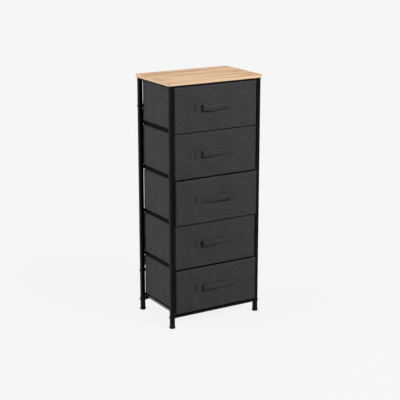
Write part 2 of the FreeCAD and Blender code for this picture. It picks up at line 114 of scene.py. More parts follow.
class Shader:
    """One material's node tree, with short ways to add and join its nodes."""

    def __init__(self, name, colour, roughness, **settings):
        self.material = bpy.data.materials.new(name)
        self.material.use_nodes = True
        self.tree = self.material.node_tree
        self.surface = self.tree.nodes["Principled BSDF"]
        self.surface.inputs["Base Color"].default_value = (*colour, 1)
        self.surface.inputs["Roughness"].default_value = roughness
        for socket, value in settings.items():
            self.surface.inputs[socket.replace("_", " ")].default_value = value

    def add(self, kind, inputs=(), **properties):
        node = self.tree.nodes.new(kind)
        for key, value in properties.items():
            setattr(node, key, value)
        for socket, value in dict(inputs).items():
            if isinstance(value, bpy.types.NodeSocket):
                self.tree.links.new(value, node.inputs[socket])
            else:
                node.inputs[socket].default_value = value
        return node

    def place(self):
        """Object coordinates, in millimetres."""
        coordinates = self.add("ShaderNodeTexCoord").outputs["Object"]
        return self.stretch(coordinates, (1000, 1000, 1000))

    def cloth_map(self):
        """The piece's own cloth map, in millimetres along and across."""
        return self.stretch(self.add("ShaderNodeUVMap", uv_map="cloth").outputs["UV"], (1000, 1000, 1000))

    def stretch(self, vector, by):
        return self.add("ShaderNodeVectorMath", {0: vector, 1: by}, operation="MULTIPLY").outputs["Vector"]

    def noise(self, vector, scale=1.0, detail=2.0, roughness=0.5, distortion=0.0):
        return self.add("ShaderNodeTexNoise", {
            "Vector": vector, "Scale": scale, "Detail": detail,
            "Roughness": roughness, "Distortion": distortion,
        }).outputs["Fac"]

    def bands(self, vector, direction, period, distortion=0.0):
        return self.add("ShaderNodeTexWave", {
            "Vector": vector, "Scale": 2 * math.pi / (20 * period), "Distortion": distortion, "Detail": 1.0,
        }, wave_type="BANDS", bands_direction=direction).outputs["Fac"]

    def cells(self, vector, scale):
        return self.add("ShaderNodeTexVoronoi", {"Vector": vector, "Scale": scale}).outputs["Distance"]

    def sum(self, *values):
        total = values[0]
        for value in values[1:]:
            total = self.add("ShaderNodeMath", {0: total, 1: value}, operation="ADD").outputs[0]
        return total

    def times(self, value, by):
        return self.add("ShaderNodeMath", {0: value, 1: by}, operation="MULTIPLY").outputs[0]

    def ramp(self, value, stops):
        node = self.add("ShaderNodeValToRGB", {"Fac": value})
        elements = node.color_ramp.elements
        for index, (at, colour) in enumerate(stops):
            element = elements[index] if index < len(elements) else elements.new(at)
            element.position = at
            element.color = (*colour, 1)
        return node.outputs["Color"]

    def remap(self, value, low, high, to_low, to_high):
        return self.add("ShaderNodeMapRange", {
            "Value": value, "From Min": low, "From Max": high, "To Min": to_low, "To Max": to_high,
        }).outputs["Result"]

    def blend(self, share, first, second):
        """Goes from the first colour to the second as the share goes from 0 to 1."""
        return self.add("ShaderNodeMix", {0: share, 6: first, 7: second}, data_type="RGBA").outputs[2]

    def colour_from(self, socket):
        self.tree.links.new(socket, self.surface.inputs["Base Color"])

    def roughness_from(self, *remapped):
        self.tree.links.new(self.remap(*remapped), self.surface.inputs["Roughness"])

    def bump(self, height, strength, distance):
        node = self.add("ShaderNodeBump", {"Height": height, "Strength": strength, "Distance": distance * MM})
        self.tree.links.new(node.outputs["Normal"], self.surface.inputs["Normal"])


def shade(colour, by):
    return tuple(min(1.0, channel * by) for channel in colour)


def oak_laminate():
    """Printed oak: soft bands along the width, finer figure and dark pores, and a paler edge that is a
    painted highlight.
    """
    tan = (0.715, 0.492, 0.312)
    oak = Shader("oak_laminate", tan, 0.5, Specular_IOR_Level=0.25)
    place = oak.place()
    bands = oak.noise(oak.stretch(place, (0.0042, 0.034, 0.034)), 1.0, 2.0, 0.55, 0.5)
    figure = oak.noise(oak.stretch(place, (0.011, 0.1, 0.1)), 1.0, 4.0, 0.65, 0.8)
    pores = oak.noise(oak.stretch(place, (0.05, 1.7, 1.7)), 1.0, 3.0, 0.7)
    value = oak.sum(oak.times(bands, 0.55), oak.times(figure, 0.33), oak.times(pores, 0.12))
    grain = oak.ramp(value, [
        (0.43, (0.52, 0.28, 0.126)), (0.485, (0.63, 0.378, 0.195)),
        (0.525, (0.705, 0.452, 0.247)), (0.585, (0.79, 0.54, 0.321)),
    ])
    height = oak.add("ShaderNodeSeparateXYZ", {"Vector": place}).outputs["Z"]
    edge_highlight_share = oak.remap(height, *PAINTED_EDGE_HIGHLIGHT_TOP, 1.0, 0.0)
    # The paler edge colour is a painted highlight.
    oak.colour_from(oak.blend(edge_highlight_share, grain, (0.8, 0.565, 0.355, 1)))
    oak.roughness_from(figure, 0.3, 0.7, 0.44, 0.56)
    oak.bump(pores, 0.25, 0.12)
    return oak.material


def coat(paint, low, high):
    """Gives a paint its fine orange peel and slightly duller patches. Returns the place and the patches."""
    place = paint.place()
    patches = paint.noise(place, 0.02, 3.0, 0.6)
    paint.roughness_from(patches, 0.25, 0.75, low, high)
    paint.bump(paint.noise(place, 0.55, 2.0, 0.5), 0.12, 0.08)
    return place, patches


def black_paint(name, gloss, low, high):
    """Deep black powder coat."""
    paint = Shader(name, (0.0035, 0.0035, 0.0038), 0.3, Specular_IOR_Level=gloss)
    patches = coat(paint, low, high)[1]
    paint.colour_from(paint.ramp(patches, [(0.3, (0.003, 0.003, 0.0033)), (0.75, (0.0048, 0.0048, 0.0052))]))
    return paint.material


def paint_with_painted_shade(name, tone, edge, outside=0.0):
    """A rail's metallic black paint, dead black above a height: painted shade of the gap under the drawer.
    Inside a distance from the dresser's middle, on a side rail's ledge, it can be dead black too, painted
    shade under the drawer. Both are in millimetres."""
    paint = Shader(name, (tone, tone, tone), 0.3, Specular_IOR_Level=0.0)
    place, patches = coat(paint, 0.2, 0.3)
    spot = paint.add("ShaderNodeSeparateXYZ", {"Vector": place})
    unshaded_share = paint.remap(spot.outputs["Z"], edge - SHADE_BLUR, edge + SHADE_BLUR, 1.0, 0.0)
    if outside:
        away = paint.add("ShaderNodeMath", {0: spot.outputs["X"]}, operation="ABSOLUTE").outputs[0]
        beyond = paint.remap(away, outside - FACE_BLUR, outside + FACE_BLUR, 0.0, 1.0)
        unshaded_share = paint.times(unshaded_share, beyond)
    face = paint.ramp(patches, [
        (0.3, (0.9 * tone, 0.9 * tone, 0.91 * tone)), (0.75, (1.1 * tone, 1.1 * tone, 1.12 * tone)),
    ])
    # The dead black colour is painted shade, above the height and on the ledge.
    paint.colour_from(paint.blend(unshaded_share, (0.004, 0.004, 0.0043, 1), face))
    paint.tree.links.new(unshaded_share, paint.surface.inputs["Metallic"])
    return paint.material


def black_oxide():
    """Blackened fasteners: dark, with lighter rubbed patches."""
    steel = Shader("black_oxide", (0.02, 0.02, 0.021), 0.42, Metallic=0.6)
    grain = steel.noise(steel.place(), 1.3, 3.0, 0.6)
    steel.colour_from(steel.ramp(grain, [(0.35, (0.012, 0.012, 0.013)), (0.7, (0.032, 0.032, 0.034))]))
    steel.roughness_from(grain, 0.3, 0.7, 0.34, 0.5)
    return steel.material


def zinc_steel():
    """Plated nut blocks: pale grey metal with a mottled plating."""
    zinc = Shader("zinc_steel", (0.6, 0.6, 0.58), 0.35, Metallic=1.0)
    mottle = zinc.noise(zinc.place(), 0.9, 3.0, 0.6)
    zinc.colour_from(zinc.ramp(mottle, [(0.3, (0.5, 0.5, 0.49)), (0.7, (0.68, 0.68, 0.65))]))
    zinc.roughness_from(mottle, 0.3, 0.7, 0.28, 0.45)
    return zinc.material


def moulded_plastic():
    """Black moulded feet and plugs: satin, with a fine spark texture."""
    plastic = Shader("moulded_plastic", (0.006, 0.006, 0.0065), 0.45, Specular_IOR_Level=0.12)
    place = plastic.place()
    plastic.roughness_from(plastic.noise(place, 0.08, 2.0, 0.5), 0.3, 0.7, 0.4, 0.55)
    plastic.bump(plastic.noise(place, 2.4, 2.0, 0.6), 0.2, 0.06)
    return plastic.material


def raw_fibreboard():
    """Pressed fibre: matt brown with short fibres."""
    board = Shader("raw_fibreboard", (0.33, 0.22, 0.13), 0.85)
    place = board.place()
    fibres = board.noise(board.stretch(place, (0.4, 0.4, 1.6)), 1.0, 4.0, 0.7)
    board.colour_from(board.ramp(fibres, [(0.3, (0.25, 0.165, 0.1)), (0.7, (0.4, 0.275, 0.17))]))
    board.bump(fibres, 0.3, 0.15)
    return board.material


def linen_cloth(name, colour, slub):
    """Woven charcoal cloth: a plain weave with thick and thin threads that run mostly across."""
    cloth = Shader(name, colour, 0.92, Specular_IOR_Level=0.12, Sheen_Weight=0.06, Sheen_Roughness=0.55)
    place = cloth.cloth_map()
    warp = cloth.bands(place, "X", 0.85, 0.5)
    weft = cloth.bands(place, "Y", 0.75, 0.5)
    slubs = cloth.noise(cloth.stretch(place, (0.04, 0.62, 1.0)), 1.0, 3.0, 0.65)
    streaks = cloth.noise(cloth.stretch(place, (0.026, 0.21, 1.0)), 1.0, 3.0, 0.65)
    patches = cloth.noise(cloth.stretch(place, (0.012, 0.012, 1.0)), 1.0, 2.0, 0.5)
    warps = cloth.noise(cloth.stretch(place, (0.5, 0.04, 1.0)), 1.0, 2.0, 0.6)
    tone = cloth.sum(
        cloth.times(slubs, 0.5 * slub), cloth.times(streaks, 0.55 * slub), cloth.times(warps, 0.28 * slub),
        cloth.times(patches, 0.2 * slub), cloth.times(weft, 0.1), 0.45 - 0.765 * slub,
    )
    cloth.colour_from(cloth.ramp(tone, [
        (0.30, shade(colour, 0.62)), (0.50, colour), (0.72, shade(colour, 1.6)),
    ]))
    cloth.roughness_from(slubs, 0.3, 0.7, 0.86, 0.97)
    cloth.bump(cloth.sum(cloth.times(warp, 0.5), cloth.times(weft, 0.7), cloth.times(slubs, 1.2)), 0.3, 0.2)
    return cloth.material


def bonded_cloth(name, colour, mapped=True):
    """Non-woven cloth: matted fibres with a close grid of small embossed dots."""
    cloth = Shader(name, colour, 0.9, Specular_IOR_Level=0.12, Sheen_Weight=0.07, Sheen_Roughness=0.5)
    place = cloth.cloth_map() if mapped else cloth.place()
    fibres = cloth.noise(place, 0.4, 4.0, 0.7, 0.4)
    mottle = cloth.noise(place, 0.03, 3.0, 0.6)
    dots = cloth.remap(cloth.cells(place, 0.62), 0.0, 0.42, 0.0, 1.0)
    tone = cloth.sum(cloth.times(fibres, 0.45), cloth.times(mottle, 0.45), cloth.times(dots, 0.1))
    cloth.colour_from(cloth.ramp(tone, [
        (0.3, shade(colour, 0.68)), (0.5, colour), (0.7, shade(colour, 1.42)),
    ]))
    cloth.roughness_from(fibres, 0.3, 0.7, 0.84, 0.96)
    cloth.bump(cloth.sum(dots, cloth.times(fibres, 0.6)), 0.3, 0.18)
    return cloth.material


def sewing_thread():
    """Twisted polyester thread, a shade lighter than the cloth."""
    thread = Shader("sewing_thread", (0.075, 0.076, 0.08), 0.6, Sheen_Weight=0.2)
    twist = thread.noise(thread.place(), 3.5, 2.0, 0.6)
    thread.colour_from(thread.ramp(twist, [(0.35, (0.05, 0.051, 0.054)), (0.7, (0.1, 0.101, 0.106))]))
    return thread.material


OAK = oak_laminate()
GLOSS_PAINT = black_paint("gloss_black_paint", 0.065, 0.22, 0.34)
SATIN_PAINT = black_paint("satin_black_paint", 0.015, 0.4, 0.55)
# Crossbars and lowest side rails are dead black along their top: painted shade of the gap under the drawer.
CROSSBAR_PAINT = paint_with_painted_shade("crossbar_paint", 0.018, CROSSBAR_SHADE_FROM)
LOW_RAIL_PAINT = paint_with_painted_shade("low_rail_paint", 0.1, LOW_RAIL_SHADE_FROM, LOW_RAIL_FACE)
OXIDE = black_oxide()
ZINC = zinc_steel()
PLASTIC = moulded_plastic()
FIBREBOARD = raw_fibreboard()
LINEN = linen_cloth("linen_front", (0.041, 0.041, 0.042), 1.0)
BONDED = bonded_cloth("bonded_cloth", (0.044, 0.044, 0.0465))
BONDED_COVER = bonded_cloth("bonded_cover", (0.044, 0.044, 0.0465), mapped=False)
WEBBING = linen_cloth("strap_webbing", (0.038, 0.038, 0.0385), 0.5)
# The binding tape is a shade lighter than the front's linen: painted highlight of the rim catching light.
TAPE = linen_cloth("binding_tape", (0.043, 0.043, 0.0445), 0.35)
THREAD = sewing_thread()


# -------- mesh helpers

def placed(name, data):
    piece = bpy.data.objects.new(name, data)
    bpy.context.scene.collection.objects.link(piece)
    return piece


def mesh_piece(name, points, faces, materials, material_of=None, cloth_map=None):
    """A mesh object at the origin. cloth_map holds one pair for each corner of each face."""
    mesh = bpy.data.meshes.new(name)
    mesh.from_pydata([tuple(p) for p in points], [], faces)
    for material in materials:
        mesh.materials.append(material)
    if material_of is not None:
        mesh.polygons.foreach_set("material_index", material_of)
    if cloth_map is not None:
        layer = mesh.uv_layers.new(name="cloth")
        layer.uv.foreach_set("vector", np.asarray(cloth_map, np.float32).ravel())
    mesh.polygons.foreach_set("use_smooth", [True] * len(faces))
    mesh.validate()
    mesh.update()
    return placed(name, mesh)


def outward(piece):
    """Turns every face of a closed mesh outwards."""
    shell = bmesh.new()
    shell.from_mesh(piece.data)
    bmesh.ops.recalc_face_normals(shell, faces=shell.faces)
    if shell.calc_volume(signed=True) < 0:
        bmesh.ops.reverse_faces(shell, faces=shell.faces)
    shell.to_mesh(piece.data)
    shell.free()
    return piece


def turned(name, rows, segments, material, radius_at):
    """A lathe-like solid from (radius, height) rows in millimetres. radius_at varies each row's radius, in
    metres, round the turn."""
    rows = [(radius * MM, height * MM) for radius, height in rows]
    points, faces = [], []
    for index, (radius, height) in enumerate(rows):
        for step in range(segments):
            angle = 2 * math.pi * step / segments
            reach = radius_at(index, radius, angle)
            points.append((reach * math.cos(angle), reach * math.sin(angle), height))
    for row in range(len(rows) - 1):
        for step in range(segments):
            after = (step + 1) % segments
            low, high = row * segments, (row + 1) * segments
            faces.append((low + step, low + after, high + after, high + step))
    faces.append(tuple(reversed(range(segments))))
    top = (len(rows) - 1) * segments
    faces.append(tuple(range(top, top + segments)))
    return outward(mesh_piece(name, points, faces, [material]))


def sharpen(piece):
    """Shades hard edges as sharp."""
    piece.data.set_sharp_from_angle(angle=math.radians(HARD_EDGE))


# -------- repeats, by Geometry Nodes

def bake(piece, tree, inputs, name):
    """Runs a node tree on a piece, and gives its result as a plain mesh object."""
    modifier = piece.modifiers.new("repeat", "NODES")
    modifier.node_group = tree
    for item in tree.interface.items_tree:
        if item.item_type == "SOCKET" and item.in_out == "INPUT" and item.name in inputs:
            modifier[item.identifier] = inputs[item.name]
    shown = piece.evaluated_get(bpy.context.evaluated_depsgraph_get())
    mesh = bpy.data.meshes.new_from_object(shown)
    mesh.name = name
    bpy.data.objects.remove(piece)
    return placed(name, mesh)


def new_tree(name, sizes=()):
    tree = bpy.data.node_groups.new(name, "GeometryNodeTree")
    tree.interface.new_socket("Geometry", in_out="INPUT", socket_type="NodeSocketGeometry")
    for label in sizes:
        tree.interface.new_socket(label, in_out="INPUT", socket_type="NodeSocketFloat")
    tree.interface.new_socket("Geometry", in_out="OUTPUT", socket_type="NodeSocketGeometry")
    return tree, tree.nodes.new("NodeGroupInput"), tree.nodes.new("NodeGroupOutput")


def finish_tree(tree, instances, material, outlet):
    """Realizes the copies and gives them their material."""
    real = tree.nodes.new("GeometryNodeRealizeInstances")
    painted = tree.nodes.new("GeometryNodeSetMaterial")
    painted.inputs["Material"].default_value = material
    tree.links.new(instances, real.inputs[0])
    tree.links.new(real.outputs[0], painted.inputs["Geometry"])
    tree.links.new(painted.outputs[0], outlet.inputs[0])


def stitch_tree():
    """Small thread loops set end to end along every line of the mesh."""
    tree, inlet, outlet = new_tree("stitch_row", STITCH_SIZES)
    link = tree.links.new
    curve = tree.nodes.new("GeometryNodeMeshToCurve")
    spots = tree.nodes.new("GeometryNodeCurveToPoints")
    spots.mode = "LENGTH"
    loop = tree.nodes.new("GeometryNodeMeshUVSphere")
    loop.inputs["Segments"].default_value = 6
    loop.inputs["Rings"].default_value = 4
    loop.inputs["Radius"].default_value = 1
    half = tree.nodes.new("ShaderNodeMath")
    half.operation = "MULTIPLY"
    half.inputs[1].default_value = 0.5
    size = tree.nodes.new("ShaderNodeCombineXYZ")
    copies = tree.nodes.new("GeometryNodeInstanceOnPoints")
    link(inlet.outputs["Geometry"], curve.inputs["Mesh"])
    link(curve.outputs["Curve"], spots.inputs["Curve"])
    link(inlet.outputs["Stitch pitch"], spots.inputs["Length"])
    link(inlet.outputs["Stitch length"], half.inputs[0])
    link(inlet.outputs["Thread radius"], size.inputs["X"])
    link(inlet.outputs["Thread radius"], size.inputs["Y"])
    link(half.outputs[0], size.inputs["Z"])
    link(spots.outputs["Points"], copies.inputs["Points"])
    link(spots.outputs["Rotation"], copies.inputs["Rotation"])
    link(loop.outputs["Mesh"], copies.inputs["Instance"])
    link(size.outputs["Vector"], copies.inputs["Scale"])
    finish_tree(tree, copies.outputs["Instances"], THREAD, outlet)
    return tree


def fastener_tree(name, master):
    """One copy of the master on each point, its own +Z along the point's facing."""
    tree, inlet, outlet = new_tree(name)
    link = tree.links.new
    source = tree.nodes.new("GeometryNodeObjectInfo")
    source.inputs["Object"].default_value = master
    facing = tree.nodes.new("GeometryNodeInputNamedAttribute")
    facing.data_type = "FLOAT_VECTOR"
    facing.inputs["Name"].default_value = "facing"
    turn = tree.nodes.new("FunctionNodeAlignRotationToVector")
    turn.axis = "Z"
    copies = tree.nodes.new("GeometryNodeInstanceOnPoints")
    link(inlet.outputs["Geometry"], copies.inputs["Points"])
    link(source.outputs["Geometry"], copies.inputs["Instance"])
    link(facing.outputs["Attribute"], turn.inputs["Vector"])
    link(turn.outputs["Rotation"], copies.inputs["Rotation"])
    finish_tree(tree, copies.outputs["Instances"], OXIDE, outlet)
    return tree


STITCHES = stitch_tree()


def stitch_rows(name, lines, body, stitch):
    """Stitches along several lines of points. A line that ends where it starts is a closed row."""
    points, edges = [], []
    for line in lines:
        first = len(points)
        closed = (Vector(line[0]) - Vector(line[-1])).length < 1e-6
        kept = line[:-1] if closed else line
        points += [tuple(p) for p in kept]
        edges += [(first + i, first + i + 1) for i in range(len(kept) - 1)]
        if closed:
            edges.append((first + len(kept) - 1, first))
    mesh = bpy.data.meshes.new(name + "_line")
    mesh.from_pydata(points, edges, [])
    row = bake(placed(name + "_line", mesh), STITCHES, dict(zip(STITCH_SIZES, stitch)), name)
    row.data.polygons.foreach_set("use_smooth", [True] * len(row.data.polygons))
    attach(row, body)


def fasteners(name, master, spots, node):
    """Copies of one fastener at (place, facing) spots, as one piece of the frame in place of the node."""
    mesh = bpy.data.meshes.new(name + "_spots")
    mesh.from_pydata([tuple(place) for place, _ in spots], [], [])
    facing = mesh.attributes.new("facing", "FLOAT_VECTOR", "POINT")
    facing.data.foreach_set("vector", [c for _, way in spots for c in way])
    tree = fastener_tree(name + "_copies", master)
    piece = bake(placed(name + "_spots", mesh), tree, {}, name)
    bpy.data.objects.remove(master)
    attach(piece, "frame")
    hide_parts(node)


# -------- sewn boxes

class Outline:
    """A rounded rectangle seen from above, run anticlockwise from the front's left end: front, right, back,
    left. Each side's points crowd towards its ends, where the corner seams are."""

    NEAR = (0.0, 1.1 * MM, 2.0 * MM, 2.9 * MM, 4.4 * MM)

    def __init__(self, low, high):
        self.low, self.high = low, high
        spans = []
        for side in range(4):
            length = (high[side % 2] - low[side % 2]) - 2 * BOX_RADIUS
            inner = length - 2 * self.NEAR[-1]
            count = max(2, round(inner / CLOTH_STEP))
            middle = [self.NEAR[-1] + inner * i / count for i in range(1, count)]
            offsets = [*self.NEAR, *middle, *[length - n for n in reversed(self.NEAR)]]
            spans.append((length, [o / length for o in offsets]))
        self.where = []  # (side or None, share along it, distance from the side's nearer end, run)
        run = 0.0
        for side, (length, shares) in enumerate(spans):
            for share in shares:
                self.where.append((side, share, min(share, 1 - share) * length, run + share * length))
            run += length
            arc = BOX_RADIUS * math.pi / 2
            for step in range(1, CORNER_STEPS):
                self.where.append((None, (side, step / CORNER_STEPS), 0.0, run + arc * step / CORNER_STEPS))
            run += arc
        self.length = run

    def points(self, insets, radius, height):
        """insets: how far in from the front, right, back and left faces."""
        x0, x1 = self.low[0] + insets[3], self.high[0] - insets[1]
        y0, y1 = self.low[1] + insets[0], self.high[1] - insets[2]
        corner = [
            (x1 - radius, y0 + radius), (x1 - radius, y1 - radius),
            (x0 + radius, y1 - radius), (x0 + radius, y0 + radius),
        ]
        starts = [(x0 + radius, y0), (x1, y0 + radius), (x1 - radius, y1), (x0, y1 - radius)]
        ends = [(x1 - radius, y0), (x1, y1 - radius), (x0 + radius, y1), (x0, y0 + radius)]
        out = []
        for side, share, _, _ in self.where:
            if side is not None:
                a, b = starts[side], ends[side]
                out.append((a[0] + (b[0] - a[0]) * share, a[1] + (b[1] - a[1]) * share, height))
            else:
                index, part = share
                angle = math.pi / 2 * (index - 1 + part)
                cx, cy = corner[index]
                out.append((cx + radius * math.cos(angle), cy + radius * math.sin(angle), height))
        return out

    def normals(self):
        out = []
        for side, share, _, _ in self.where:
            angle = math.pi / 2 * (side - 1) if side is not None else math.pi / 2 * (share[0] - 1 + share[1])
            out.append((math.cos(angle), math.sin(angle)))
        return out


def cloth_swell(side, share, level, seed):
    """How far a wall's cloth stands proud: each wall is crowned a little, with soft ripples."""
    lift = math.sin(math.pi * min(max(level, 0), 1))
    across = math.sin(math.pi * share)
    spot = Vector((share * 3.1 + seed * 7.3, level * 2.3, side * 5.7))
    ripple = noise.noise(spot) * 0.55 + noise.noise(spot * 3.1) * 0.22
    if side in (0, 2):
        return (FRONT_CROWN * lift * across + FRONT_RIPPLE * ripple * lift) * MM
    return (SIDE_CROWN * lift * across ** 0.4 + SIDE_RIPPLE * ripple * lift * across ** 0.5) * MM


# How each drawer's side walls stand towards the back, in millimetres: (height, fullness, how far the rear
# corner's seam pokes out).
REAR_LIE = {
    1: [(8, 0, 0), (14, 0.7, 0), (19, 1.9, 0), (54, 1.9, 0), (108, 0, 0)],
    2: [(8, 0, 0), (14, 0.7, 0), (19, 1.9, 0), (190, 1.9, 0)],
    3: [(8, 0, 0), (14, 0.7, 1.5), (19, 2.2, 3.4), (46, 2.2, 4.2), (60, 1.9, 3.2), (190, 1.8, 3.2)],
    4: [(8, 0, 0), (14, 0.7, 0), (19, 1.9, 0), (190, 1.9, 0)],
    5: [
        (8, 0, 0), (14, 0.7, 1.5), (19, 1.9, 3.1), (106, 1.9, 3.1),
        (113, 1.9, 1.7), (137, 1.9, 1.7), (147, 2.3, 6.2), (190, 2.3, 6.2),
    ],
}


def smooth_step(value, start, end):
    share = min(max((value - start) / (end - start), 0.0), 1.0)
    return share * share * (3 - 2 * share)


def rear_lie(number, height):
    """How full the walls stand at the back at this height, and how far the corner seam pokes out."""
    heights, fullness, corner = zip(*REAR_LIE[number])
    return np.interp(height / MM, heights, fullness) * MM, np.interp(height / MM, heights, corner) * MM


def front_tuck(number, height, inset):
    """How much further in the front's lower edge is rolled: the lowest drawer's is rounder."""
    radius = LOW_TUCK if number == 5 else 0.0
    if height >= radius:
        return 0.0
    return max(0.0, radius - math.sqrt(radius ** 2 - (radius - height) ** 2) - inset)


def sewn_box(number):
    """The cloth of one drawer as a closed skin round its boards: outside, bound rim, lining and bottom."""
    low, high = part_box(f"drawer_{number}_fabric_box")
    outline = Outline(low, high)
    normals = outline.normals()
    height = high[2] - low[2]
    inner = (BOARD_BACK_FRONT, BOARD_BACK_SIDE, BOARD_BACK_SIDE, BOARD_BACK_SIDE)

    def level(inset, part=0.0):
        """Insets of a row: even from the outer face, plus a part of the way to the lining."""
        return tuple(inset + part * depth for depth in inner)

    wall = list(np.linspace(4.5 * MM, height - BINDING_WIDTH - 1.2 * MM, round(height / CLOTH_STEP) - 2))
    lining = list(np.linspace(height - BINDING_WIDTH - 1.5 * MM, 3.2 * MM, 24))
    proud = BINDING_PROUD
    rim = [  # how proud the binding stands, as a share, and its height
        (0.7, height - BINDING_WIDTH), (1, height - BINDING_WIDTH + 0.6 * MM),
        (1, height - BINDING_WIDTH * 0.6), (1, height - 2.8 * MM), (0.5, height - 1.3 * MM),
    ]
    outside = [  # rows from the bottom up to the rim: insets, corner radius, height, kind
        (level(14 * MM), 1 * MM, 0.0, "bottom"),
        (level(4 * MM), 1.5 * MM, 0.0, "bottom"),
        (level(1.3 * MM), BOX_RADIUS - 0.9 * MM, 0.35 * MM, "wall"),
        (level(0.3 * MM), BOX_RADIUS - 0.2 * MM, 1.2 * MM, "wall"),
        (level(0.0), BOX_RADIUS, 2.6 * MM, "wall"),
        *[(level(0.0), BOX_RADIUS, z, "wall") for z in wall],
        (level(0.05 * MM), BOX_RADIUS, height - BINDING_WIDTH - 0.25 * MM, "wall"),
        *[(level(-proud * share), BOX_RADIUS, z, "binding") for share, z in rim],
        (level(0.4 * MM), BOX_RADIUS - 0.4 * MM, height - 0.4 * MM, "binding"),
    ]
    inside = [  # rows over the rim and down to the lining's floor
        (level(0.3 * MM, 0.32), 3.2 * MM, height, "binding"),
        (level(-0.3 * MM, 0.68), 2.6 * MM, height, "binding"),
        (level(-0.4 * MM, 1.0), 2.2 * MM, height - 0.4 * MM, "binding"),
        (level(proud * 0.5, 1.0), 2.0 * MM, height - 1.3 * MM, "binding"),
        *[(level(proud * share, 1.0), 1.8 * MM, z, "binding") for share, z in reversed(rim[:-1])],
        (level(0.0, 1.0), 1.8 * MM, height - BINDING_WIDTH - 0.25 * MM, "lining"),
        *[(level(0.0, 1.0), 1.8 * MM, z, "lining") for z in lining],
        (level(1.2 * MM, 1.0), 1.4 * MM, 1.9 * MM, "lining"),
        (level(12 * MM, 1.0), 1.0 * MM, 1.9 * MM, "lining"),
    ]
    rows = [*outside, *inside]
    outer_rows = len(outside)
    points = []
    for row_number, (insets, radius, z, kind) in enumerate(rows):
        loop = outline.points(insets, radius, low[2] + z)
        full, corner = rear_lie(number, z)
        for index, (side, share, near, _) in enumerate(outline.where):
            x, y, at = loop[index]
            nx, ny = normals[index]
            push = 0.0
            if side is None and share[0] in REAR_CORNERS and row_number < outer_rows:
                push = corner * math.sin(math.pi * share[1])
            if kind == "wall" and z > 2 * MM:
                if side is not None:
                    push = cloth_swell(side, share, z / height, number)
                if side in SIDE_WALLS:
                    push -= SEAM_DEPTH * math.exp(-((near - SEAM_FROM_CORNER) / SEAM_WIDTH) ** 2)
            if side == 0 or (side is None and share[0] in FRONT_CORNERS):
                frontness = 1.0 if side == 0 else abs(share[1] - (share[0] == 0))
                push -= front_tuck(number, z, insets[0]) * frontness * (row_number < outer_rows)
            x, y = x + nx * push, y + ny * push
            if row_number < outer_rows:
                depth_share = (y - low[1]) / (high[1] - low[1])
                towards_back = smooth_step(depth_share, REAR_FULL_FROM, REAR_FULL_TO)
                towards_side = min(abs(x) / high[0], 1.0) ** 8
                x = math.copysign(min(abs(x) + full * towards_back * towards_side, REAR_LIMIT), x)
            points.append((x, y, at))
    count = len(outline.where)
    front = set()
    for index, (side, share, near, _) in enumerate(outline.where):
        wraps = side in SIDE_WALLS and near < FRONT_WRAP and (share < 0.5) == (side == 1)
        if side == 0 or wraps or (side is None and share[0] in FRONT_CORNERS):
            front.add(index)
    faces, material_of, cloth_map = [], [], []
    climb = 0.0
    runs = [w[3] for w in outline.where]
    for row in range(len(rows) - 1):
        step = abs(rows[row + 1][2] - rows[row][2]) + abs(rows[row + 1][0][1] - rows[row][0][1])
        kind = rows[row + 1][3] if rows[row][3] != "binding" else rows[row][3]
        for index in range(count):
            after = (index + 1) % count
            a, b = row * count, (row + 1) * count
            faces.append((a + index, a + after, b + after, b + index))
            end = runs[after] if after else outline.length
            start = runs[index]
            cloth_map += [(start, climb), (end, climb), (end, climb + step), (start, climb + step)]
            if kind == "binding":
                material_of.append(RIM_TAPE)
            else:
                on_front = kind == "wall" and index in front and after in front
                material_of.append(FRONT_CLOTH if on_front else PLAIN_CLOTH)
        climb += step
    for row, turn in ((0, -1), (len(rows) - 1, 1)):
        ring = list(range(row * count, (row + 1) * count))[::turn]
        faces.append(tuple(ring))
        material_of.append(PLAIN_CLOTH)
        cloth_map += [(points[i][0], points[i][1]) for i in ring]
    piece = mesh_piece(f"drawer_{number}_cloth", points, faces, [LINEN, BONDED, TAPE], material_of, cloth_map)
    outward(piece)
    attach(piece, f"drawer_{number}")
    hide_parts(f"drawer_{number}_fabric_box")

    seam = height - BINDING_WIDTH + 2.2 * MM
    rim_rows = []
    for insets in (level(-proud - 0.1 * MM), level(proud + 0.1 * MM, 1.0)):
        radius = BOX_RADIUS if insets[0] < 0 else 1.6 * MM
        loop = outline.points(insets, radius, low[2] + seam)
        rim_rows.append([*loop, loop[0]])
    stitch_rows(f"drawer_{number}_rim_stitches", rim_rows, f"drawer_{number}", RIM_STITCH)


# -------- pull straps

# For each drawer: the side to which the slack has gathered, how full its loop stands, how much its lower edge
# leans out for each millimetre of width, and how far the loop hangs at places along it, in millimetres.
STRAP_LIE = {
    1: (-1, 1.04, -0.06, [
        (-66, 0.0), (-45, 3.0), (-14, 5.4), (8, 3.8), (27, 1.4), (55, 2.6), (80, 2.0), (92, 0.0),
    ]),
    2: (-1, 1.0, -0.06, [(-60, 0.0), (-20, 1.2), (30, 0.6), (70, 0.0)]),
    3: (1, 1.14, -0.12, [(-60, 0.0), (-30, -0.8), (0, 1.2), (40, 2.4), (66, 1.4), (76, 0.0)]),
    4: (-1, 1.08, -0.34, [(-66, 0.0), (-40, 1.0), (10, 2.6), (50, 1.4), (80, 0.0)]),
    5: (-1, 0.98, -0.14, [(-60, 0.0), (-20, 0.4), (30, 1.0), (80, 0.0)]),
}

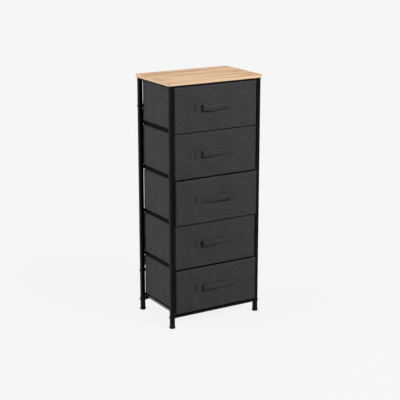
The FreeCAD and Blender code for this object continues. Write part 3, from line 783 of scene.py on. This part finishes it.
# The strap's middle line from the slack end: (place along the front, distance from it), in millimetres.
STRAP_LINE = [
    (-99.6, 1.5), (-92.0, 1.4), (-84.0, 1.3), (-76.0, 1.3), (-71.2, 1.4), (-69.4, 2.8),
    (-69.4, 5.2), (-69.2, 8.0), (-67.4, 10.9), (-62.5, 12.5), (-54.0, 13.2), (-40.0, 13.2),
    (-22.0, 12.6), (-4.0, 11.4), (16.0, 9.6), (36.0, 7.4), (54.0, 5.3), (68.0, 3.4),
    (77.0, 2.0), (84.0, 1.35), (91.0, 1.3), (99.6, 1.5),
]

# How narrow the loop looks at places along it: (place along the front, share of the webbing's width).
LOOP_NARROWING = [(-78, 1.0), (-68, 0.92), (0, 0.89), (62, 0.8), (80, 0.83), (88, 1.0)]


def smooth_line(points, steps):
    """A smooth curve through the points."""
    out = []
    padded = [points[0], *points, points[-1]]
    for i in range(len(points) - 1):
        p0, p1, p2, p3 = (np.array(p, float) for p in padded[i:i + 4])
        for step in range(steps):
            t = step / steps
            out.append(0.5 * (2 * p1 + (p2 - p0) * t + (2 * p0 - 5 * p1 + 4 * p2 - p3) * t ** 2
                              + (3 * p1 - p0 - 3 * p2 + p3) * t ** 3))
    out.append(np.array(points[-1], float))
    return out


def strap_section(width, thickness):
    """Across the webbing: flat faces and thicker, round folded edges, as (along the width, through it)."""
    half, thick = width / 2, thickness / 2
    outer = [
        (-half + 3.4 * MM, 0.82 * thick), (-half + 1.6 * MM, thick), (-half + 0.5 * MM, 0.8 * thick),
        (-half, 0.0),
        (-half + 0.5 * MM, -0.8 * thick), (-half + 1.6 * MM, -thick), (-half + 3.4 * MM, -0.82 * thick),
    ]
    middle_back = [(half * share, -0.8 * thick) for share in (-0.55, -0.28, 0.0, 0.28, 0.55)]
    other = [(-w, t) for w, t in reversed(outer)]
    middle_front = [(half * share, 0.8 * thick) for share in (0.55, 0.28, 0.0, -0.28, -0.55)]
    return [*outer, *middle_back, *other, *middle_front]


class StrapLie:
    """Where a pull strap's webbing lies: its middle line, how it hangs, and how its edges curl back."""

    def __init__(self, number):
        low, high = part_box(f"drawer_{number}_pull_strap")
        self.gather, fullness, self.lean, self.hang = STRAP_LIE[number]
        self.number = number
        self.face = high[1]
        self.middle = (low[2] + high[2]) / 2
        self.width = high[2] - low[2]
        self.line = smooth_line([(x, out * fullness if out > LOOP_OUT else out) for x, out in STRAP_LINE], 4)

    def way(self, index):
        """The middle line's direction."""
        before, after = self.line[max(index - 1, 0)], self.line[min(index + 1, len(self.line) - 1)]
        return (after - before) / np.linalg.norm(after - before)

    def freedom(self, index):
        """0 on the flat tabs, up to 1 where the loop stands well off the cloth."""
        return min(max((self.line[index][1] - TAB_OUT) / LOOP_RISE, 0.0), 1.0)

    def spot(self, index, across, through):
        """A point of the webbing: across its width from the middle, and through its thickness."""
        x, out = self.line[index]
        free = self.freedom(index)
        narrow = np.interp(x, *zip(*LOOP_NARROWING))
        doubled = 1 + FOLD_THICKENING * (abs(x) > TAB_FOLD)
        share = across / (self.width / 2)
        curl = -EDGE_CURL * share ** 2 * free * smooth_step(x, *CURL_SPAN)
        hang = np.interp(x, *zip(*self.hang)) * MM
        wave = LOOP_WAVE * math.sin(x * WAVE_TURN + self.number) * free
        normal = (-self.way(index)[1], self.way(index)[0])  # points away from the drawer on the flat tabs
        lift = through * doubled + curl - across * self.lean * free
        return (
            (x * MM + normal[0] * lift) * -self.gather,
            self.face - (out * MM + normal[1] * lift),
            self.middle + across * narrow - hang + wave,
        )


def pull_strap(number):
    """One webbing pull: tabs sewn flat to the cloth and a slack loop between them, gathered to one side."""
    lie = StrapLie(number)
    section = strap_section(lie.width, STRAP_THICKNESS)
    count, rows = len(section), len(lie.line)
    points = [lie.spot(row, across, through) for row in range(rows) for across, through in section]
    runs = [0.0, *np.cumsum([np.linalg.norm(b - a) * MM for a, b in zip(lie.line, lie.line[1:])])]
    girth = [0.0, *np.cumsum([math.dist(section[i], section[(i + 1) % count]) for i in range(count)])]
    faces, cloth_map = [], []
    for row in range(rows - 1):
        for i in range(count):
            after = (i + 1) % count
            a, b = row * count, (row + 1) * count
            faces.append((a + i, a + after, b + after, b + i))
            cloth_map += [
                (runs[row], girth[i]), (runs[row], girth[i + 1]),
                (runs[row + 1], girth[i + 1]), (runs[row + 1], girth[i]),
            ]
    for row, turn in ((0, -1), (rows - 1, 1)):
        ring = list(range(row * count, (row + 1) * count))[::turn]
        faces.append(tuple(ring))
        cloth_map += [(points[i][2], points[i][1]) for i in ring]
    piece = mesh_piece(f"drawer_{number}_strap", points, faces, [WEBBING], None, cloth_map)
    outward(piece)
    body = f"drawer_{number}"
    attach(piece, body)
    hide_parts(f"drawer_{number}_pull_strap")

    top = lie.face - STRAP_THICKNESS - 0.25 * MM
    lines = []
    for side in (-1, 1):
        x0, x1 = side * TAB_SEAM[0], side * TAB_SEAM[1]
        z0, z1 = lie.middle - TAB_SEAM_HALF, lie.middle + TAB_SEAM_HALF
        lines.append([(x0, top, z0), (x1, top, z0), (x1, top, z1), (x0, top, z1), (x0, top, z0)])
    on_loop = [row for row in range(rows) if lie.freedom(row) > STITCHED_FROM]
    across = lie.width / 2 - STRAP_EDGE_SEAM
    through = 0.43 * STRAP_THICKNESS + 0.05 * MM
    for edge in (-1, 1):
        lines.append([lie.spot(row, edge * across, through) for row in on_loop])
    stitch_rows(f"drawer_{number}_strap_stitches", lines, body, STRAP_STITCH)


# -------- hardware

def hexagon(angle, across_flats):
    turn = (angle + math.pi / 6) % (math.pi / 3) - math.pi / 6
    return across_flats / 2 / math.cos(turn)


# Bolt profiles from the tip to the socket's floor, in millimetres: (radius, height above the leg).
# The rows from the fourth last to the second last are the socket.
REAR_BOLT = [
    (2.5, -28.5), (2.5, -0.02), (5.0, 0.0), (5.0, 0.5), (4.75, 1.35), (4.1, 2.15), (3.1, 2.75),
    (2.2, 2.95), (1.62, 3.0), (1.55, 2.9), (1.5, 1.2), (0.2, 0.9),
]
CROSSBAR_BOLT = [
    (2.5, -28.5), (2.5, -0.02), (6.3, 0.0), (6.5, 0.25), (6.5, 0.9), (6.3, 1.15), (5.9, 1.2), (5.9, 2.4),
    (5.6, 3.5), (4.9, 4.4), (3.8, 4.95), (2.6, 5.2), (1.9, 5.2), (1.8, 5.1), (1.75, 3.0), (0.2, 2.7),
]


def frame_bolts():
    """Button-head bolts with a hexagon socket, heads outwards. Those of the crossbars have a washer."""
    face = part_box("frame_bolts")[1][0] - BOLT_HEAD
    for name, profile, bars in (
        ("rear_bar_bolt", REAR_BOLT, ("rear_bar_lower", "rear_bar_upper")),
        ("crossbar_bolt", CROSSBAR_BOLT, ("crossbar_front", "crossbar_rear")),
    ):
        flats = {len(profile) - 4 + i: 3.2 - 0.1 * i for i in range(3)}  # the socket's width, by row

        def socketed(index, radius, angle):
            return hexagon(angle, flats[index] * MM) if index in flats else radius

        master = turned(name, profile, 36, OXIDE, socketed)
        sharpen(master)
        spots = []
        for side in (-1, 1):
            for low, high in map(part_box, bars):
                spots.append(((side * face, (low[1] + high[1]) / 2, (low[2] + high[2]) / 2), (side, 0, 0)))
        fasteners(name + "s", master, spots, "frame_bolts")


def board_screws():
    """Pan-head cross-recess screws, heads down under the side rails."""
    low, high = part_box("board_screws")
    seat = low[2] + SCREW_HEAD_HEIGHT
    rows = [
        (2.0, 17.0), (2.0, 0.02), (3.75, 0.0), (3.75, -0.7), (3.4, -1.5),
        (2.6, -2.05), (1.9, -2.2), (1.8, -2.15), (1.5, -0.9), (0.15, -0.7),
    ]

    def cross(index, radius, angle):
        return radius * (0.3 + 0.7 * abs(math.cos(2 * angle)) ** 3) if index in (6, 7, 8) else radius

    master = turned("screw", rows, 32, OXIDE, cross)
    sharpen(master)
    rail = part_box("top_rail_right")
    across = (rail[0][0] + rail[1][0]) / 2
    spots = []
    for side in (-1, 1):
        for y in (low[1] + SCREW_HEAD_RADIUS, high[1] - SCREW_HEAD_RADIUS):
            spots.append(((side * across, y, seat), (0, 0, 1)))
    fasteners("board_screw_heads", master, spots, "board_screws")


def levelling_foot(corner):
    """A flared moulded foot with a finger-grip edge on a threaded stem."""
    node = f"levelling_foot_{corner}"
    low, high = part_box(node)
    cx, cy = (low[0] + high[0]) / 2, (low[1] + high[1]) / 2
    rows = [
        (1.0, 0.6), (9.0, 0.6), (10.0, 0.0), (11.2, 0.05), (12.2, 0.8), (12.9, 2.0), (13.0, 3.4), (13.0, 6.2),
        (12.8, 7.6), (12.2, 8.9), (11.3, 10.0), (10.2, 10.9), (9.3, 11.5), (8.6, 12.0), (4.6, 12.0),
        (4.0, 12.4),
    ]
    grips = range(4, 10)

    def gripped(index, radius, angle):
        return radius - GRIP_DEPTH * (0.5 - 0.5 * math.cos(GRIP_COUNT * angle)) * (index in grips)

    foot = turned(node + "_pad", rows, 96, PLASTIC, gripped)
    stem = STEM_TOP - STEM_BOTTOM
    steps = round(stem / THREAD_PITCH * ROWS_PER_TURN)
    stem_rows = [(STEM_CORE, STEM_BOTTOM + stem * i / steps) for i in range(steps + 1)]

    def thread(index, radius, angle):
        phase = (stem_rows[index][1] - STEM_BOTTOM) / THREAD_PITCH - angle / (2 * math.pi)
        ridge = 1 - abs(2 * (phase % 1) - 1)
        return (STEM_CORE + THREAD_HEIGHT * min(1.0, 1.35 * ridge)) * MM

    screw = turned(node + "_stem", stem_rows, 28, PLASTIC, thread)
    for piece in (foot, screw):
        for vertex in piece.data.vertices:
            vertex.co += Vector((cx, cy, low[2]))
        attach(piece, f"foot_{corner}")
    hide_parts(node)


# -------- finishes of the CAD pieces

# A later finish goes over an earlier one, as on the lowest runners.
FINISHES = [
    (GLOSS_PAINT, [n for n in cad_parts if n.startswith(("top_rail", "leg_front", "leg_rear"))]),
    (SATIN_PAINT, [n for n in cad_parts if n.startswith(("rear_bar", "runner"))]),
    (LOW_RAIL_PAINT, ["runner_left_5", "runner_right_5"]),
    (CROSSBAR_PAINT, ["crossbar_front", "crossbar_rear"]),
    (OAK, ["top_board"]),
    (PLASTIC, ["leg_inserts"]),
    (ZINC, ["bar_end_nuts"]),
    (FIBREBOARD, [f"drawer_{k}_{board}" for k in DRAWERS for board in ("front_board", "wall_liner")]),
    (BONDED_COVER, [f"drawer_{k}_base_board" for k in DRAWERS]),
]
for material, nodes in FINISHES:
    for node in nodes:
        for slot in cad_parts[node].material_slots:
            slot.material = material

for number in DRAWERS:
    sewn_box(number)
    pull_strap(number)
frame_bolts()
board_screws()
for corner in CORNERS:
    levelling_foot(corner)


# -------- stage, light and camera

BACKDROP = (0.922, 0.922, 0.922, 1)
AMBIENT = 0.2
FLOOR_TONE = (0.4, 0.4, 0.4)
FLOOR_REACH = 30.0
SHADOW_SPAN = (0.5, 1.6)  # distances from the dresser's middle between which its shadow fades out, in metres
SHADOW_HIDDEN = 0.94  # the backdrop's share of the floor's look near the dresser

# Soft lamps: name, place, what they face, size and power.
LAMPS = [
    ("side_light", (-3.0, 1.2, 1.7), (0, 0, 0.5), (1.8, 1.8), 76),
    ("front_light", (1.2, -2.7, 2.9), (0, 0, 0.5), (1.1, 1.1), 118),
    ("top_light", (0.3, 1.6, 3.0), (0, 0, 0.7), (1.8, 1.8), 7),
]

CAMERA_PLACE = (-2.4055, -4.0431, 1.8022)
CAMERA_YAW, CAMERA_PITCH = 0.5367, 0.2694
SENSOR_WIDTH = 36  # millimetres
PICTURE_WIDTH = 400  # pixels
FOCAL_LENGTH = 1138.96  # pixels of that width


def seen_rays(tree):
    """1 for rays that see the backdrop, straight or mirrored, and 0 for the light on the dresser."""
    path = tree.nodes.new("ShaderNodeLightPath")
    value = path.outputs["Is Camera Ray"]
    for other in ("Is Glossy Ray", "Is Transmission Ray"):
        most = tree.nodes.new("ShaderNodeMath")
        most.operation = "MAXIMUM"
        tree.links.new(value, most.inputs[0])
        tree.links.new(path.outputs[other], most.inputs[1])
        value = most.outputs[0]
    return value


def stage_floor():
    """A pale floor in the backdrop's tone, with a faint soft shadow under the dresser and none far off."""
    mesh = bpy.data.meshes.new("floor")
    corners = [(x * FLOOR_REACH, y * FLOOR_REACH, 0) for x, y in ((-1, -1), (1, -1), (1, 1), (-1, 1))]
    mesh.from_pydata(corners, [], [(0, 1, 2, 3)])
    floor = placed("floor", mesh)
    pale = Shader("floor", FLOOR_TONE, 1.0)
    tree = pale.tree
    seen = seen_rays(tree)
    spot = pale.add("ShaderNodeTexCoord").outputs["Object"]
    away = pale.add("ShaderNodeVectorMath", {0: spot}, operation="LENGTH").outputs["Value"]
    share = pale.times(seen, pale.remap(away, *SHADOW_SPAN, SHADOW_HIDDEN, 1.0))
    tone = pale.blend(seen, (*FLOOR_TONE, 1), BACKDROP)
    matt = pale.add("ShaderNodeBsdfDiffuse", {"Color": tone})
    glow = pale.add("ShaderNodeEmission", {"Color": BACKDROP})
    mix = pale.add("ShaderNodeMixShader", {0: share, 1: matt.outputs[0], 2: glow.outputs[0]})
    tree.links.new(mix.outputs[0], tree.nodes["Material Output"].inputs["Surface"])
    tree.nodes.remove(pale.surface)
    mesh.materials.append(pale.material)


def studio_world():
    """Even soft light from all round, and the pale backdrop for what sees or mirrors it."""
    world = bpy.data.worlds.new("studio")
    bpy.context.scene.world = world
    world.use_nodes = True
    tree = world.node_tree
    tree.nodes.clear()
    mix = tree.nodes.new("ShaderNodeMixShader")
    out = tree.nodes.new("ShaderNodeOutputWorld")
    tree.links.new(seen_rays(tree), mix.inputs["Fac"])
    for socket, colour, strength in ((1, (1, 1, 1, 1), AMBIENT), (2, BACKDROP, 1.0)):
        glow = tree.nodes.new("ShaderNodeBackground")
        glow.inputs["Color"].default_value = colour
        glow.inputs["Strength"].default_value = strength
        tree.links.new(glow.outputs[0], mix.inputs[socket])
    tree.links.new(mix.outputs[0], out.inputs["Surface"])


def softbox(name, place, target, size, power):
    lamp = bpy.data.lights.new(name, "AREA")
    lamp.shape = "RECTANGLE"
    lamp.size, lamp.size_y = size
    lamp.energy = power
    holder = placed(name, lamp)
    holder.location = place
    holder.rotation_euler = (Vector(target) - Vector(place)).to_track_quat("-Z", "Y").to_euler()


def studio_camera():
    """Seen from the front left, a little above the top."""
    lens = bpy.data.cameras.new("camera")
    lens.sensor_width = SENSOR_WIDTH
    lens.lens = FOCAL_LENGTH / PICTURE_WIDTH * SENSOR_WIDTH
    lens.clip_end = 100
    camera = placed("camera", lens)
    camera.location = CAMERA_PLACE
    camera.rotation_euler = (math.pi / 2 - CAMERA_PITCH, 0, -CAMERA_YAW)
    bpy.context.scene.camera = camera


stage_floor()
studio_world()
for lamp_sizes in LAMPS:
    softbox(*lamp_sizes)
studio_camera()
bpy.context.scene.view_settings.view_transform = "Standard"
